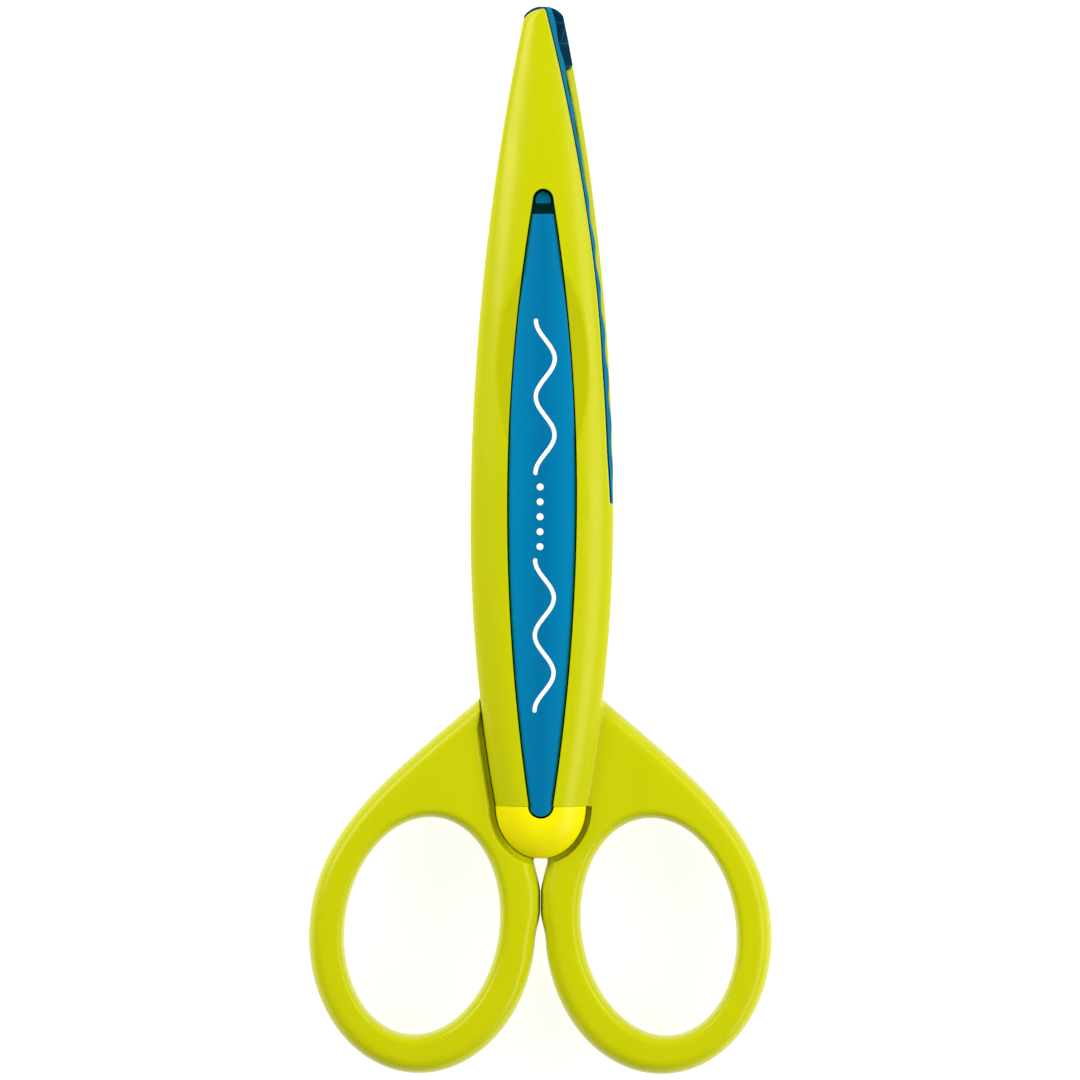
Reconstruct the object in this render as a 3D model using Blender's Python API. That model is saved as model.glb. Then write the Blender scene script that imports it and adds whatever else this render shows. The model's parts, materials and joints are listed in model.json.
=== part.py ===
"""Decorative edge scissors: two moulded levers on one rivet, each with a clip-in wavy blade.

Both levers come from the same tool. The front one is modelled here, and the back one is the same set of
pieces turned half a turn about the long axis. Only the two blades differ, because their waves have to mesh.

Lever frame, in millimetres: the origin is on the rivet's axis, in the plane where the levers meet.
+X is the side of the lever's own ring, +Y runs to the tip, and +Z points out of the lever's outer face.
"""

import math

import bmesh
import bpy

MM = 0.001

# Overall
TIP_Y = 99.4
RIVET_WORLD_Y = -16.93  # puts the middle of the whole length at the world origin
HALF_THICKNESS = 7.5
LEVER_GAP = 0.15  # each lever stays this far from the plane where they meet

# Leaf-shaped body, seen from the front
BELLY_Y, BELLY_HALF = 20.0, 11.03
FORE_TAPER, AFT_TAPER = 0.00132, 0.0021
BODY_END_Y = -24.1
NOSE_LENGTH, NOSE_HALF = 2.8, 3.42
COVER_NOSE_INSET = 0.45

# Its height above the meeting plane
FLAT_END_Y = 37.0  # the outer face is flat up to here, then falls to the tip
CREST_DROP, SHOULDER, SHOULDER_DROP = 3.7, 4.2, 1.6
CREST_BAND = 0.8
FLANK_POWER = 1.6
SKIN, WALL = 1.5, 1.1

# Slot in the body, and the printed panel in it
SLOT_BELLY_Y, SLOT_HALF = 23.0, 5.4
SLOT_FORE_TAPER, SLOT_AFT_TAPER = 0.00174, 0.00154
SLOT_FORE_END_Y, SLOT_AFT_END_Y, SLOT_END_RADIUS = 71.1, -26.0, 1.8
PANEL_GAP, PANEL_FORE_END_Y, PANEL_SINK = 0.3, 67.2, 0.5
PANEL_PLATE, PANEL_SKIRT, PANEL_BASE_Z = 1.3, 0.9, 3.1

# Thumb scoop round the slot
SCOOP_Y, SCOOP_HALF_LENGTH, SCOOP_HALF_WIDTH, SCOOP_DEPTH = 43.0, 15.5, 7.4, 1.0

# Blade
SLIT_END_Y, STEP_Y = 22.3, 23.2  # the side wall ends, then the cutting edge steps out
EDGE_ROOT_X, EDGE_START_Y, EDGE_BEND, EDGE_POWER = 10.98, 21.0, 0.00283, 1.87
STRIP_NARROW_Y, STRIP_NARROW, STRIP_WIDE = 60.0, 0.56, 0.82  # what the cover leaves bare along the edge
STRIP_FORE_GROWTH, STRIP_AFT_GROWTH = 0.0003, 0.001
STRIP_REAR, STRIP_REAR_GROWTH = 0.38, 0.055
EDGE_BEVEL_DROP = 0.5
BLADE_TOP, BLADE_TOP_DROP = 2.8, 1.1
BLADE_SIDE_GAP = 0.3
BARE_TIP_Y, BARE_TIP_SLANT = 90.2, 0.8  # from here on the blade's tip is as wide as the body
WAVE_LENGTH, WAVE_HEIGHT = 6.7, 0.85
WAVE_START_R, WAVE_FULL_R = 25.0, 32.0
BLADE_TAIL_Y = -22.0
WAVE_ROOM = WAVE_HEIGHT - LEVER_GAP + 0.3  # height of the walls above the plane where the levers meet

# Finger ring, as (x, y, half width, half height, lean towards the middle), and the arm above it
RING_OUTER = (18.27, -43.83, 17.5, 21.72, math.radians(3.6))
RING_HOLE = (18.28, -42.77, 11.9, 16.9, math.radians(8.4))
RING_ROUNDING = ((1.2, 0.0), (2.9, 0.45), (3.9, 1.2), (4.5, 2.4))  # height, inset
ARM_TOP, ARM_TOP_PULL = (9.6, -7.7), (13.65, -11.74)  # the pulls shape the curves that end in the points
ARM_HEEL, ARM_HEEL_PULL = (1.1, -32.9), (-1.57, -4.75)
RING_PULLS = (15.0, 6.0)  # on the outside and on the inside
GROOVE, GROOVE_FLOOR = 0.9, 2.4  # open groove between a lever's arm and what moves beside it
FIT_GAP = 0.35  # below the groove's floor

# Release button and its spring
BUTTON_HALF, BUTTON_LENGTH, BUTTON_SKIRT_Z, BUTTON_WALL = 6.98, 8.1, 2.9, 1.2
BUTTON_EDGE_Z = 5.0
BUTTON_DOME = ((0.5, 5.7), (1.4, 6.4), (2.8, 6.9), (4.6, 7.15))  # inset, height
FLOOR_TOP = 1.1
SPRING_Y, SPRING_RADIUS, SPRING_WIRE, SPRING_TURNS = -28.6, 1.9, 0.25, 4
SPRING_Z = (1.65, 4.45)

# Clip: the blade's toe lug and catch block, and the button's tongue and hook
LUG_Y, LUG_RADIUS, LUG_Z = 68.8, 1.45, (1.5, 5.3)
CATCH = ((-3.0, -21.6, 0.8), (3.0, -17.5, 4.8))
CATCH_ROOM = ((-4.0, -30.0, 0.0), (4.0, -16.5, 5.1))  # in the panel
LATCH_WAY = ((-1.7, -23.0, 1.0), (1.7, -18.6, 3.5))
LATCH_WINDOW = ((-1.6, -20.8, 3.0), (1.6, -18.7, 6.0))
TONGUE_HALF, TONGUE_Z = 1.3, (2.3, 3.2)
HOOK_Y, HOOK_Z = (-20.5, -19.2), (2.8, 4.4)

# Rivet and washers
SHANK_RADIUS, BORE_RADIUS = 1.6, 1.68
RIVET_HEAD_RADIUS, RIVET_HEAD_Z = 2.6, (3.7, 4.4)
WASHER_RADIUS, WASHER_Z = 3.0, (3.05, 3.45)
CENTRE_WASHER_RADIUS, CENTRE_WASHER_HALF, CENTRE_RECESS = 4.0, 0.4, 0.65

COLOURS = {
    "lime_plastic": ((0.62, 0.66, 0.002), 0.38, 0.0),
    "blue_resin": ((0.003, 0.2, 0.45), 0.36, 0.0),
    "yellow_plastic": ((0.87, 0.76, 0.003), 0.3, 0.0),
    "steel": ((0.62, 0.62, 0.6), 0.3, 1.0),
    "nylon": ((0.85, 0.84, 0.78), 0.5, 0.0),
}


# ---- curves of the design ----


def leaf(y, belly_y, half, fore, aft):
    """Half width of a leaf that is widest at belly_y, with a parabola on either side."""
    return half - (fore if y > belly_y else aft) * (y - belly_y) ** 2


def body_half(y):
    return leaf(y, BELLY_Y, BELLY_HALF, FORE_TAPER, AFT_TAPER)


def outline_half(y, inset=0.0):
    """Half width of the whole outline, with its blunt rounded nose."""
    into_nose = y - (TIP_Y - inset - NOSE_LENGTH)
    half = body_half(y)
    if into_nose > 0:
        round_off = math.sqrt(max(0.0, 1 - (into_nose / NOSE_LENGTH) ** 2))
        half = min(half, NOSE_HALF * round_off)
    return half


def slot_half(y):
    return leaf(y, SLOT_BELLY_Y, SLOT_HALF, SLOT_FORE_TAPER, SLOT_AFT_TAPER)


def past_flat(y):
    """0 along the flat of the outer face, 1 at the tip."""
    return max(0.0, (y - FLAT_END_Y) / (TIP_Y - FLAT_END_Y)) ** 2


def crest_z(y):
    return HALF_THICKNESS - CREST_DROP * past_flat(y)


def shoulder_z(y):
    return SHOULDER - SHOULDER_DROP * past_flat(y)


def blade_top_z(y):
    return BLADE_TOP - BLADE_TOP_DROP * past_flat(y)


def edge_x(y):
    """The cutting edge, seen from the front."""
    return EDGE_ROOT_X - EDGE_BEND * max(0.0, y - EDGE_START_Y) ** EDGE_POWER


def strip_width(y):
    """How far the cover stops short of the cutting edge."""
    if y > STRIP_NARROW_Y:
        return STRIP_NARROW + STRIP_FORE_GROWTH * (y - STRIP_NARROW_Y) ** 2
    at_rear = STRIP_REAR + STRIP_REAR_GROWTH * (y - STEP_Y)
    return min(STRIP_WIDE, STRIP_NARROW + STRIP_AFT_GROWTH * (STRIP_NARROW_Y - y) ** 2, at_rear)


def wave_z(r):
    """The meshing surface of the blades: a wave that turns about the rivet, flat near it."""
    grow = min(1.0, max(0.0, (r - WAVE_START_R) / (WAVE_FULL_R - WAVE_START_R)))
    return WAVE_HEIGHT * grow * math.sin(2 * math.pi * (r - WAVE_START_R) / WAVE_LENGTH)


def meet_arc(r, half_width):
    """The point of an outline that is r from the rivet."""
    low, high = 0.0, r
    for _ in range(30):
        y = (low + high) / 2
        if math.hypot(half_width(y), y) < r:
            low = y
        else:
            high = y
    return half_width(y), y


def steps(first, last, count):
    return [first + (last - first) * i / count for i in range(count + 1)]


def ellipse(x, y, half_x, half_y, lean, first, last, count):
    """Points of a leaning ellipse from one angle to another, in degrees."""
    cos, sin = math.cos(lean), math.sin(lean)
    points = []
    for angle in steps(math.radians(first), math.radians(last), count):
        u, v = half_x * math.cos(angle), half_y * math.sin(angle)
        points.append((x + u * cos - v * sin, y + u * sin + v * cos))
    return points


def curve(first, first_pull, last_pull, last, count):
    """Points of a cubic curve, without its ends. Each pull goes from an end to the corner next to it."""
    corners = [first, (first[0] + first_pull[0], first[1] + first_pull[1])]
    corners += [(last[0] + last_pull[0], last[1] + last_pull[1]), last]
    points = []
    for t in steps(0.0, 1.0, count)[1:-1]:
        weights = (1 - t) ** 3, 3 * (1 - t) ** 2 * t, 3 * (1 - t) * t**2, t**3
        x = sum(weight * corner[0] for weight, corner in zip(weights, corners))
        y = sum(weight * corner[1] for weight, corner in zip(weights, corners))
        points.append((x, y))
    return points


def inset(points, distance):
    """Moves each point of a smooth anticlockwise outline inwards."""
    moved = []
    for i, (x, y) in enumerate(points):
        (x0, y0), (x1, y1) = points[i - 1], points[(i + 1) % len(points)]
        length = math.hypot(x1 - x0, y1 - y0)
        moved.append((x - (y1 - y0) / length * distance, y + (x1 - x0) / length * distance))
    return moved


# ---- making solids ----


def material(name):
    if name in bpy.data.materials:
        return bpy.data.materials[name]
    colour, roughness, metallic = COLOURS[name]
    made = bpy.data.materials.new(name)
    made.use_nodes = True
    shader = made.node_tree.nodes["Principled BSDF"]
    shader.inputs["Base Color"].default_value = (*colour, 1.0)
    shader.inputs["Roughness"].default_value = roughness
    shader.inputs["Metallic"].default_value = metallic
    return made


def add(name, bm, finish=None):
    """Turns a bmesh in millimetres into an object, facing out. Without a finish it is a cutter."""
    bmesh.ops.recalc_face_normals(bm, faces=bm.faces)
    bmesh.ops.scale(bm, vec=(MM, MM, MM), verts=bm.verts)
    mesh = bpy.data.meshes.new(name)
    bm.to_mesh(mesh)
    bm.free()
    made = bpy.data.objects.new(name, mesh)
    bpy.context.scene.collection.objects.link(made)
    if finish:
        mesh.materials.append(material(finish))
    else:
        made.hide_render = True
        made.display_type = "WIRE"
    return made


def is_flat(face):
    face.normal_update()
    start = face.verts[0].co
    return all(abs((vert.co - start).dot(face.normal)) < 1e-4 for vert in face.verts)


def loft(name, rings, finish=None, closed=False):
    """A solid through rings of equal point count. The ends are capped, unless it closes on itself."""
    bm = bmesh.new()
    loops = [[bm.verts.new(p) for p in ring] for ring in rings]
    pairs = list(zip(loops, loops[1:]))
    if closed:
        pairs.append((loops[-1], loops[0]))
    for low, high in pairs:
        for i in range(len(low)):
            j = (i + 1) % len(low)
            bm.faces.new((low[i], low[j], high[j], high[i]))
    if not closed:
        caps = [bm.faces.new(reversed(loops[0])), bm.faces.new(loops[-1])]
        bmesh.ops.triangulate(bm, faces=[cap for cap in caps if not is_flat(cap)])
    return add(name, bm, finish)


def prism(name, outline, low, high, finish=None):
    return loft(name, [[(x, y, z) for x, y in outline] for z in (low, high)], finish)


def box(name, low, high, finish=None):
    outline = [(low[0], low[1]), (high[0], low[1]), (high[0], high[1]), (low[0], high[1])]
    return prism(name, outline, low[2], high[2], finish)


def turned(name, profile, sides, finish=None):
    """A closed profile of (radius, z) points turned about a vertical axis."""
    rings = []
    for i in range(sides):
        angle = 2 * math.pi * i / sides
        rings.append([(r * math.cos(angle), r * math.sin(angle), z) for r, z in profile])
    return loft(name, rings, finish, closed=True)


def disc(name, radius, low, high):
    return prism(name, ellipse(0, 0, radius, radius, 0, 0, 348.75, 31), low, high)


def combine(target, operation, *others):
    for other in others:
        modifier = target.modifiers.new(other.name, "BOOLEAN")
        modifier.operation = operation
        modifier.object = other
        modifier.solver = "EXACT"
    return target


# ---- outlines and cutters ----


def slot_outline(gap=0.0, fore_end=None):
    """The slot's outline, or with a gap the outline of what fills it. A flat fore end stops it short."""
    radius = SLOT_END_RADIUS - gap
    aft_y = SLOT_AFT_END_Y + SLOT_END_RADIUS
    fore_y = SLOT_FORE_END_Y - SLOT_END_RADIUS
    right = [(slot_half(y) - gap, y) for y in steps(aft_y + 0.6, fore_end or fore_y, 14)]
    fore = []
    if fore_end is None:
        fore = ellipse(0, fore_y, slot_half(fore_y) - gap, radius, 0, 22, 158, 5)
    left = [(-x, y) for x, y in reversed(right)]
    aft = ellipse(0, aft_y, slot_half(aft_y) - gap, radius, 0, 185, 355, 7)
    return right + fore + left + aft


def lever_footprint(grow):
    """Outline of the body and the button behind it, anticlockwise from the front right."""
    left = [(-body_half(y) - grow, y) for y in steps(14.0, BODY_END_Y, 8)]
    tail = ellipse(0, BODY_END_Y, BUTTON_HALF + grow, BUTTON_LENGTH + grow, 0, 190, 350, 12)
    return left + tail + [(-x, y) for x, y in reversed(left)]


def button_outline(grow=0.0, front_y=BODY_END_Y):
    """Half an ellipse behind front_y."""
    return ellipse(0, front_y, BUTTON_HALF + grow, BUTTON_LENGTH + grow, 0, 180, 360, 14)


def body_section(y, inset_nose):
    """Cross-section of the body: flat underneath, with a shoulder, a flank and a flat crest on each side."""
    half = outline_half(y, inset_nose)
    crest_half = min(max(0.0, slot_half(y)) + CREST_BAND, 0.6 * half)
    shoulder, crest = shoulder_z(y), crest_z(y)
    right = []
    for share in (1.0, 0.8, 0.6, 0.4, 0.2, 0.0):
        x = crest_half + (half - crest_half) * share
        right.append((x, y, shoulder + (crest - shoulder) * (1 - share**FLANK_POWER)))
    left = [(-x, y, z) for x, y, z in reversed(right)]
    return [(-half, y, LEVER_GAP), (half, y, LEVER_GAP), *right, *left]


def cavity_section(y):
    """The hollow above the blade, which leaves a skin under the body's outer face."""
    half = body_half(y) - WALL - 0.9
    crest_half = min(max(0.0, slot_half(y)) + CREST_BAND, 0.6 * half)
    floor, side, top = blade_top_z(y) - 0.6, shoulder_z(y) - 0.5, crest_z(y) - SKIN
    right = [(half, y, side), (crest_half, y, top)]
    left = [(-x, y, z) for x, y, z in reversed(right)]
    return [(-half, y, floor), (half, y, floor), *right, *left]


# ---- pieces of one lever ----


def ring_and_arm():
    """The finger ring and the arm that joins it to the body, rounded towards both faces."""
    ring = ellipse(*RING_OUTER, -180, 0, 28)
    lean = RING_OUTER[-1]
    outer_pull, inner_pull = [(-math.sin(lean) * pull, math.cos(lean) * pull) for pull in RING_PULLS]
    outer = curve(ring[-1], outer_pull, ARM_TOP_PULL, ARM_TOP, 14)
    inner = curve(ARM_HEEL, ARM_HEEL_PULL, inner_pull, ring[0], 6)
    inside_the_body = [(5.0, -4.0), (3.4, -14.0), (2.2, -26.0)]
    outline = [*ring, *outer, ARM_TOP, *inside_the_body, ARM_HEEL, *inner]
    levels = [(-z, d) for z, d in reversed(RING_ROUNDING)] + list(RING_ROUNDING)
    solid = loft("ring_and_arm", [[(x, y, z) for x, y in inset(outline, d)] for z, d in levels])
    rings = []
    hole_x, hole_y, half_x, half_y, hole_lean = RING_HOLE
    for z, d in [(-6.0, 5.0), *levels, (6.0, 5.0)]:
        hole = ellipse(hole_x, hole_y, half_x + d, half_y + d, hole_lean, 0, 351, 39)
        rings.append([(x, y, z) for x, y in hole])
    return combine(solid, "DIFFERENCE", loft("ring_hole", rings))


def blade_pocket():
    """Cutter for the space that holds the blade. It opens to the right at the cutting edge."""
    rings = []
    for y in [*steps(BLADE_TAIL_Y - 0.4, SLIT_END_Y - 0.01, 9), *steps(SLIT_END_Y, TIP_Y + 2.0, 16)]:
        half = body_half(y) - WALL
        right = half if y < SLIT_END_Y else 14.0
        top = blade_top_z(y) + 0.3
        rings.append([(-half, y, -4.0), (right, y, -4.0), (right, y, top), (-half, y, top)])
    return loft("blade_pocket", rings)


def bare_tip_room():
    """Cutter that takes away the left wall beside the bare tip. The wall ends on a slant."""
    wall_x = WALL - body_half(BARE_TIP_Y)
    inner_y = BARE_TIP_Y - BARE_TIP_SLANT
    slant = BARE_TIP_SLANT / WALL
    outline = [(wall_x - 10.0, inner_y + 10.0 * slant), (wall_x + 1.0, inner_y - slant)]
    outline += [(4.0, inner_y - slant), (4.0, TIP_Y + 10.0), (wall_x - 10.0, TIP_Y + 10.0)]
    return prism("bare_tip_room", outline, -9.0, blade_top_z(BARE_TIP_Y) + 0.3)


def other_edge_room():
    """Cutter that clears the left wall from the wave of the other blade's edge."""
    return box("other_edge_room", (-14.0, SLIT_END_Y - 0.4, -9.0), (0.0, TIP_Y + 3.0, WAVE_ROOM))


def edge_cut():
    """Cutter that takes away the body beside the cutting edge."""
    ys = steps(STEP_Y - 0.2, TIP_Y + 2.0, 22)
    edge = [(edge_x(y) - strip_width(y), y) for y in ys]
    return prism("edge_cut", [(20.0, ys[0]), (20.0, ys[-1]), *reversed(edge)], -9.0, 12.0)


def handle(name):
    """Body, arm and finger ring: one lime moulding."""
    nose = [TIP_Y - COVER_NOSE_INSET - rest for rest in (NOSE_LENGTH, 1.6, 0.7, 0.3, 0.08)]
    ys = [*steps(BODY_END_Y, 90.0, 22), 93.5, *nose]
    solid = loft(name, [body_section(y, COVER_NOSE_INSET) for y in ys], "lime_plastic")
    arm = ring_and_arm()
    combine(
        arm,
        "DIFFERENCE",
        prism("other_lever_room", lever_footprint(FIT_GAP), -9.0, LEVER_GAP),
        prism("other_lever_groove", lever_footprint(GROOVE), -9.0, -GROOVE_FLOOR),
        prism("button_room", button_outline(FIT_GAP), FLOOR_TOP, 9.0),
        prism("button_groove", button_outline(GROOVE), GROOVE_FLOOR, 9.5),
    )
    floor_outline = [*button_outline(), (6.5, -21.5), (-6.5, -21.5)]
    floor = prism("button_floor", floor_outline, LEVER_GAP, FLOOR_TOP)
    combine(solid, "UNION", arm, floor)
    cavity_ys = steps(BLADE_TAIL_Y - 0.4, SLOT_FORE_END_Y + 2.6, 16)
    half_x, half_y = SCOOP_HALF_WIDTH, SCOOP_HALF_LENGTH
    scoop_rings = []
    for share in (1.5, 1.0, 0.7, 0.35):
        z = crest_z(SCOOP_Y) - SCOOP_DEPTH + 1.6 * SCOOP_DEPTH * share**2
        rim = ellipse(0, SCOOP_Y, half_x * share, half_y * share, 0, 0, 345, 23)
        scoop_rings.append([(x, y, z) for x, y in rim])
    return combine(
        solid,
        "DIFFERENCE",
        blade_pocket(),
        bare_tip_room(),
        loft("skin_cavity", [cavity_section(y) for y in cavity_ys]),
        prism("slot", slot_outline(), FLOOR_TOP + 0.05, 12.0),
        other_edge_room(),
        edge_cut(),
        loft("thumb_scoop", scoop_rings),
    )


def blade_edge(y):
    """Right side of the blade: inside the wall at the tail, then the cutting edge."""
    if y < STEP_Y:
        return body_half(y) - WALL - BLADE_SIDE_GAP
    return min(edge_x(y), outline_half(y))


def blade_spine(y):
    """Left side of the blade: inside the wall, but as wide as the body at the bare tip."""
    inside = body_half(y) - WALL - BLADE_SIDE_GAP
    past_wall = (y - BARE_TIP_Y - BLADE_SIDE_GAP) / BARE_TIP_SLANT + 1.0
    return inside + (outline_half(y) - inside) * min(1.0, max(0.0, past_wall))


def blade_row(first, last, top_last, height, wave, spread):
    """One cross-section: a wavy underside, an upright edge, and a top that falls towards the edge."""
    under = [spread(first + (last - first) * share) + (LEVER_GAP + wave,) for share in steps(0, 1, 6)]
    over = [spread(first + (top_last - first) * share) + (height,) for share in steps(0, 1, 2)]
    return [*under, spread(last) + (height - EDGE_BEVEL_DROP,), *reversed(over)]


def wavy_rows(mesh_side):
    """Rows along arcs about the rivet, so that the two waves turn through each other."""
    rows = []
    for r in [*steps(24.4, 97.6, 66), 98.5, 99.2]:
        edge, edge_y = meet_arc(r, blade_edge)
        spine, spine_y = meet_arc(r, blade_spine)
        bevel = strip_width(edge_y) if edge_y > STEP_Y - 0.01 else 0.3
        angles = math.atan2(-spine, spine_y), math.atan2(edge, edge_y), math.atan2(edge - bevel, edge_y)
        height, wave = blade_top_z(edge_y), mesh_side * wave_z(r)
        rows.append(blade_row(*angles, height, wave, lambda a: (r * math.sin(a), r * math.cos(a))))
    return rows


def toe_lug_outline():
    """The slot's round fore end, less a gap all round."""
    round_end = ellipse(0, SLOT_FORE_END_Y - SLOT_END_RADIUS, LUG_RADIUS, LUG_RADIUS, 0, 0, 180, 8)
    return [*round_end, (-LUG_RADIUS, LUG_Y), (LUG_RADIUS, LUG_Y)]


def blade(name, mesh_side):
    """Clip-in blade: a flat tail round the rivet, the wavy half, a toe lug in front and a catch behind.

    mesh_side is 1 for the front blade and -1 for the back one, whose wave is the other's mould.
    """
    rows = []
    for y in steps(BLADE_TAIL_Y, 19.0, 8):
        half = blade_edge(y)
        rows.append(blade_row(-half, half, half - 0.3, BLADE_TOP, 0.0, lambda x: (x, y)))
    solid = loft(name, rows + wavy_rows(mesh_side), "blue_resin")
    combine(
        solid,
        "UNION",
        prism("toe_lug", toe_lug_outline(), *LUG_Z),
        box("catch_block", *CATCH),
    )
    return combine(
        solid,
        "DIFFERENCE",
        disc("rivet_bore", BORE_RADIUS, -1.0, 6.0),
        disc("washer_recess", CENTRE_WASHER_RADIUS + 0.25, -1.0, CENTRE_RECESS),
        box("latch_way", *LATCH_WAY),
        box("latch_window", *LATCH_WINDOW),
    )


def panel(name):
    """The printed leaf that fills the slot: a plate with a skirt, clipped over the rivet."""
    outline = slot_outline(PANEL_GAP, PANEL_FORE_END_Y)
    base, top = [], []
    for x, y in outline:
        base.append((x, y, PANEL_BASE_Z))
        top.append((x, y, crest_z(y) - PANEL_SINK))
    solid = loft(name, [base, top], "blue_resin")
    inner = inset(outline, PANEL_SKIRT)
    hollow = [
        [(x, y, PANEL_BASE_Z - 1.0) for x, y in inner],
        [(x, y, crest_z(y) - PANEL_SINK - PANEL_PLATE) for x, y in inner],
    ]
    return combine(
        solid,
        "DIFFERENCE",
        loft("panel_hollow", hollow),
        box("catch_room", *CATCH_ROOM),
    )


def release_button(name):
    """Yellow cap behind the body, with a tongue whose hook holds the blade's catch."""
    front_y = BODY_END_Y - 0.3
    rings = []
    for inset_by, z in ((0.0, BUTTON_SKIRT_Z), (0.0, BUTTON_EDGE_Z), *BUTTON_DOME):
        rings.append([(x, y, z) for x, y in button_outline(-inset_by, front_y)])
    solid = loft(name, rings, "yellow_plastic")
    half, length = BUTTON_HALF - BUTTON_WALL, BUTTON_LENGTH - 2 * BUTTON_WALL
    hollow = ellipse(0, front_y - BUTTON_WALL, half, length, 0, 180, 360, 14)
    combine(
        solid,
        "DIFFERENCE",
        prism("button_hollow", hollow, 1.0, BUTTON_EDGE_Z),
        prism("panel_notch", slot_outline(-0.15), 4.8, 9.0),
    )
    return combine(
        solid,
        "UNION",
        box("tongue", (-TONGUE_HALF, front_y - 1.0, TONGUE_Z[0]), (TONGUE_HALF, HOOK_Y[1], TONGUE_Z[1])),
        box("hook", (-TONGUE_HALF, HOOK_Y[0], HOOK_Z[0]), (TONGUE_HALF, HOOK_Y[1], HOOK_Z[1])),
    )


def spring(name):
    """Steel coil under the button."""
    low, high = SPRING_Z
    count = SPRING_TURNS * 10
    rings = []
    for i in range(count + 1):
        turn = 2 * math.pi * i / 10
        z = low + (high - low) * i / count
        ring = []
        for side in range(6):
            angle = 2 * math.pi * side / 6
            r, up = SPRING_RADIUS + SPRING_WIRE * math.cos(angle), SPRING_WIRE * math.sin(angle)
            ring.append((r * math.cos(turn), SPRING_Y + r * math.sin(turn), z + up))
        rings.append(ring)
    return loft(name, rings, "steel")


def washer(name, radius, low, high, finish):
    profile = [(BORE_RADIUS, low), (radius, low), (radius, high), (BORE_RADIUS, high)]
    return turned(name, profile, 24, finish)


def rivet(name):
    """One turned rivet with both heads formed."""
    low, high = RIVET_HEAD_Z
    chamfer = 0.25
    half = [
        (RIVET_HEAD_RADIUS - chamfer, high),
        (RIVET_HEAD_RADIUS, high - chamfer),
        (RIVET_HEAD_RADIUS, low),
        (SHANK_RADIUS, low),
    ]
    levels = half + [(r, -z) for r, z in reversed(half)]
    rings = []
    for r, z in levels:
        rings.append([(x, y, z) for x, y in ellipse(0, 0, r, r, 0, 0, 345, 23)])
    return loft(name, rings, "steel")


def frame(name, turn):
    """The empty on the rivet's axis that carries a lever."""
    made = bpy.data.objects.new(name, None)
    bpy.context.scene.collection.objects.link(made)
    made.location = (0.0, RIVET_WORLD_Y * MM, HALF_THICKNESS * MM)
    made.rotation_euler = (0.0, turn, 0.0)
    return made


def lever(side, turn, mesh_side):
    carrier = frame(f"{side}_lever", turn)
    pieces = [
        handle(f"{side}_handle"),
        blade(f"{side}_blade", mesh_side),
        panel(f"{side}_panel"),
        release_button(f"{side}_release_button"),
        spring(f"{side}_button_spring"),
        washer(f"{side}_pivot_washer", WASHER_RADIUS, *WASHER_Z, "steel"),
    ]
    for piece in pieces:
        piece.parent = carrier
    # The cutters were made in the lever frame too, so they turn with it.
    for helper in bpy.data.objects:
        if helper.hide_render and helper.parent is None:
            helper.parent = carrier
    return carrier


def main():
    for old in list(bpy.data.objects):
        bpy.data.objects.remove(old)
    lever("front", 0.0, 1)
    back = lever("back", math.pi, -1)
    rivet("pivot_rivet").parent = back
    half = CENTRE_WASHER_HALF
    washer("centre_washer", CENTRE_WASHER_RADIUS, -half, half, "nylon").parent = back


main()
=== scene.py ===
"""Looks of the decorative edge scissors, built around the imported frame.

The pieces of a lever are made in the lever's own frame and placed twice: as they are for the front, and
turned half a turn about the long axis for the back. Only the two blades differ, so that their waves mesh.
In that frame lengths are in millimetres, the origin is on the rivet's axis in the plane where the levers
meet, +X is the side of the lever's own ring, +Y runs to the tip and +Z points out of its outer face.
"""

import json
import math

import bmesh
import bpy
from mathutils import Matrix, Vector


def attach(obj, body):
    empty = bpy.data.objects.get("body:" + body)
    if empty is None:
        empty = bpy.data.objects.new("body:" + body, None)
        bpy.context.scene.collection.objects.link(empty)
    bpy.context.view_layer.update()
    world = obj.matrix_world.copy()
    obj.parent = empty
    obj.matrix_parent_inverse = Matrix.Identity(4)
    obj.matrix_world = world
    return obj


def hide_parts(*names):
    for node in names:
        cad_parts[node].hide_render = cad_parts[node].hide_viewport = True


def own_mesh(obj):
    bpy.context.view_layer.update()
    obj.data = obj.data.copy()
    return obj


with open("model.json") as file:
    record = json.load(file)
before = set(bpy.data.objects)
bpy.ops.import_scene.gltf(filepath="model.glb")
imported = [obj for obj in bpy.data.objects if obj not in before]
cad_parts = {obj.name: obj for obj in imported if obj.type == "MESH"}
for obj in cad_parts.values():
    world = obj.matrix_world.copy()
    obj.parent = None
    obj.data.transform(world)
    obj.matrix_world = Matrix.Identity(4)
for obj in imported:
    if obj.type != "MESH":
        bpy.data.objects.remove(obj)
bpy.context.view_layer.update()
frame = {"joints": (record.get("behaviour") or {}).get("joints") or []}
MM = 0.001
PIVOT = next(joint for joint in frame["joints"] if joint["name"] == "scissor_pivot")
RIVET = Vector(PIVOT["pos_m"])
SIDES = ("front", "back")
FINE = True

# Whole lever
TIP_Y = 99.4
LEVER_GAP = 0.15
BELLY_Y, BELLY_HALF = 20.0, 11.03
FORE_TAPER, AFT_TAPER = 0.00132, 0.0021
BODY_END_Y = -24.1
NOSE_LENGTH, NOSE_HALF = 2.8, 3.42
COVER_NOSE_INSET = 0.45

# Dome of the body
HALF_THICKNESS = 7.5
FLAT_END_Y = 37.0
CREST_DROP, SHOULDER, SHOULDER_DROP = 3.7, 4.2, 1.6
CREST_BAND, CREST_SHARE = 0.5, 0.45
FLANK_POWER, FLANK_ROUND = 1.8, 0.72
TURN_POWER = 0.8  # crowds the points of the dome's section towards its shoulder
WALL = 1.1
SPINE_WALL_START_Y, SPINE_WALL_GROWTH = 74.0, 0.001

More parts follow.
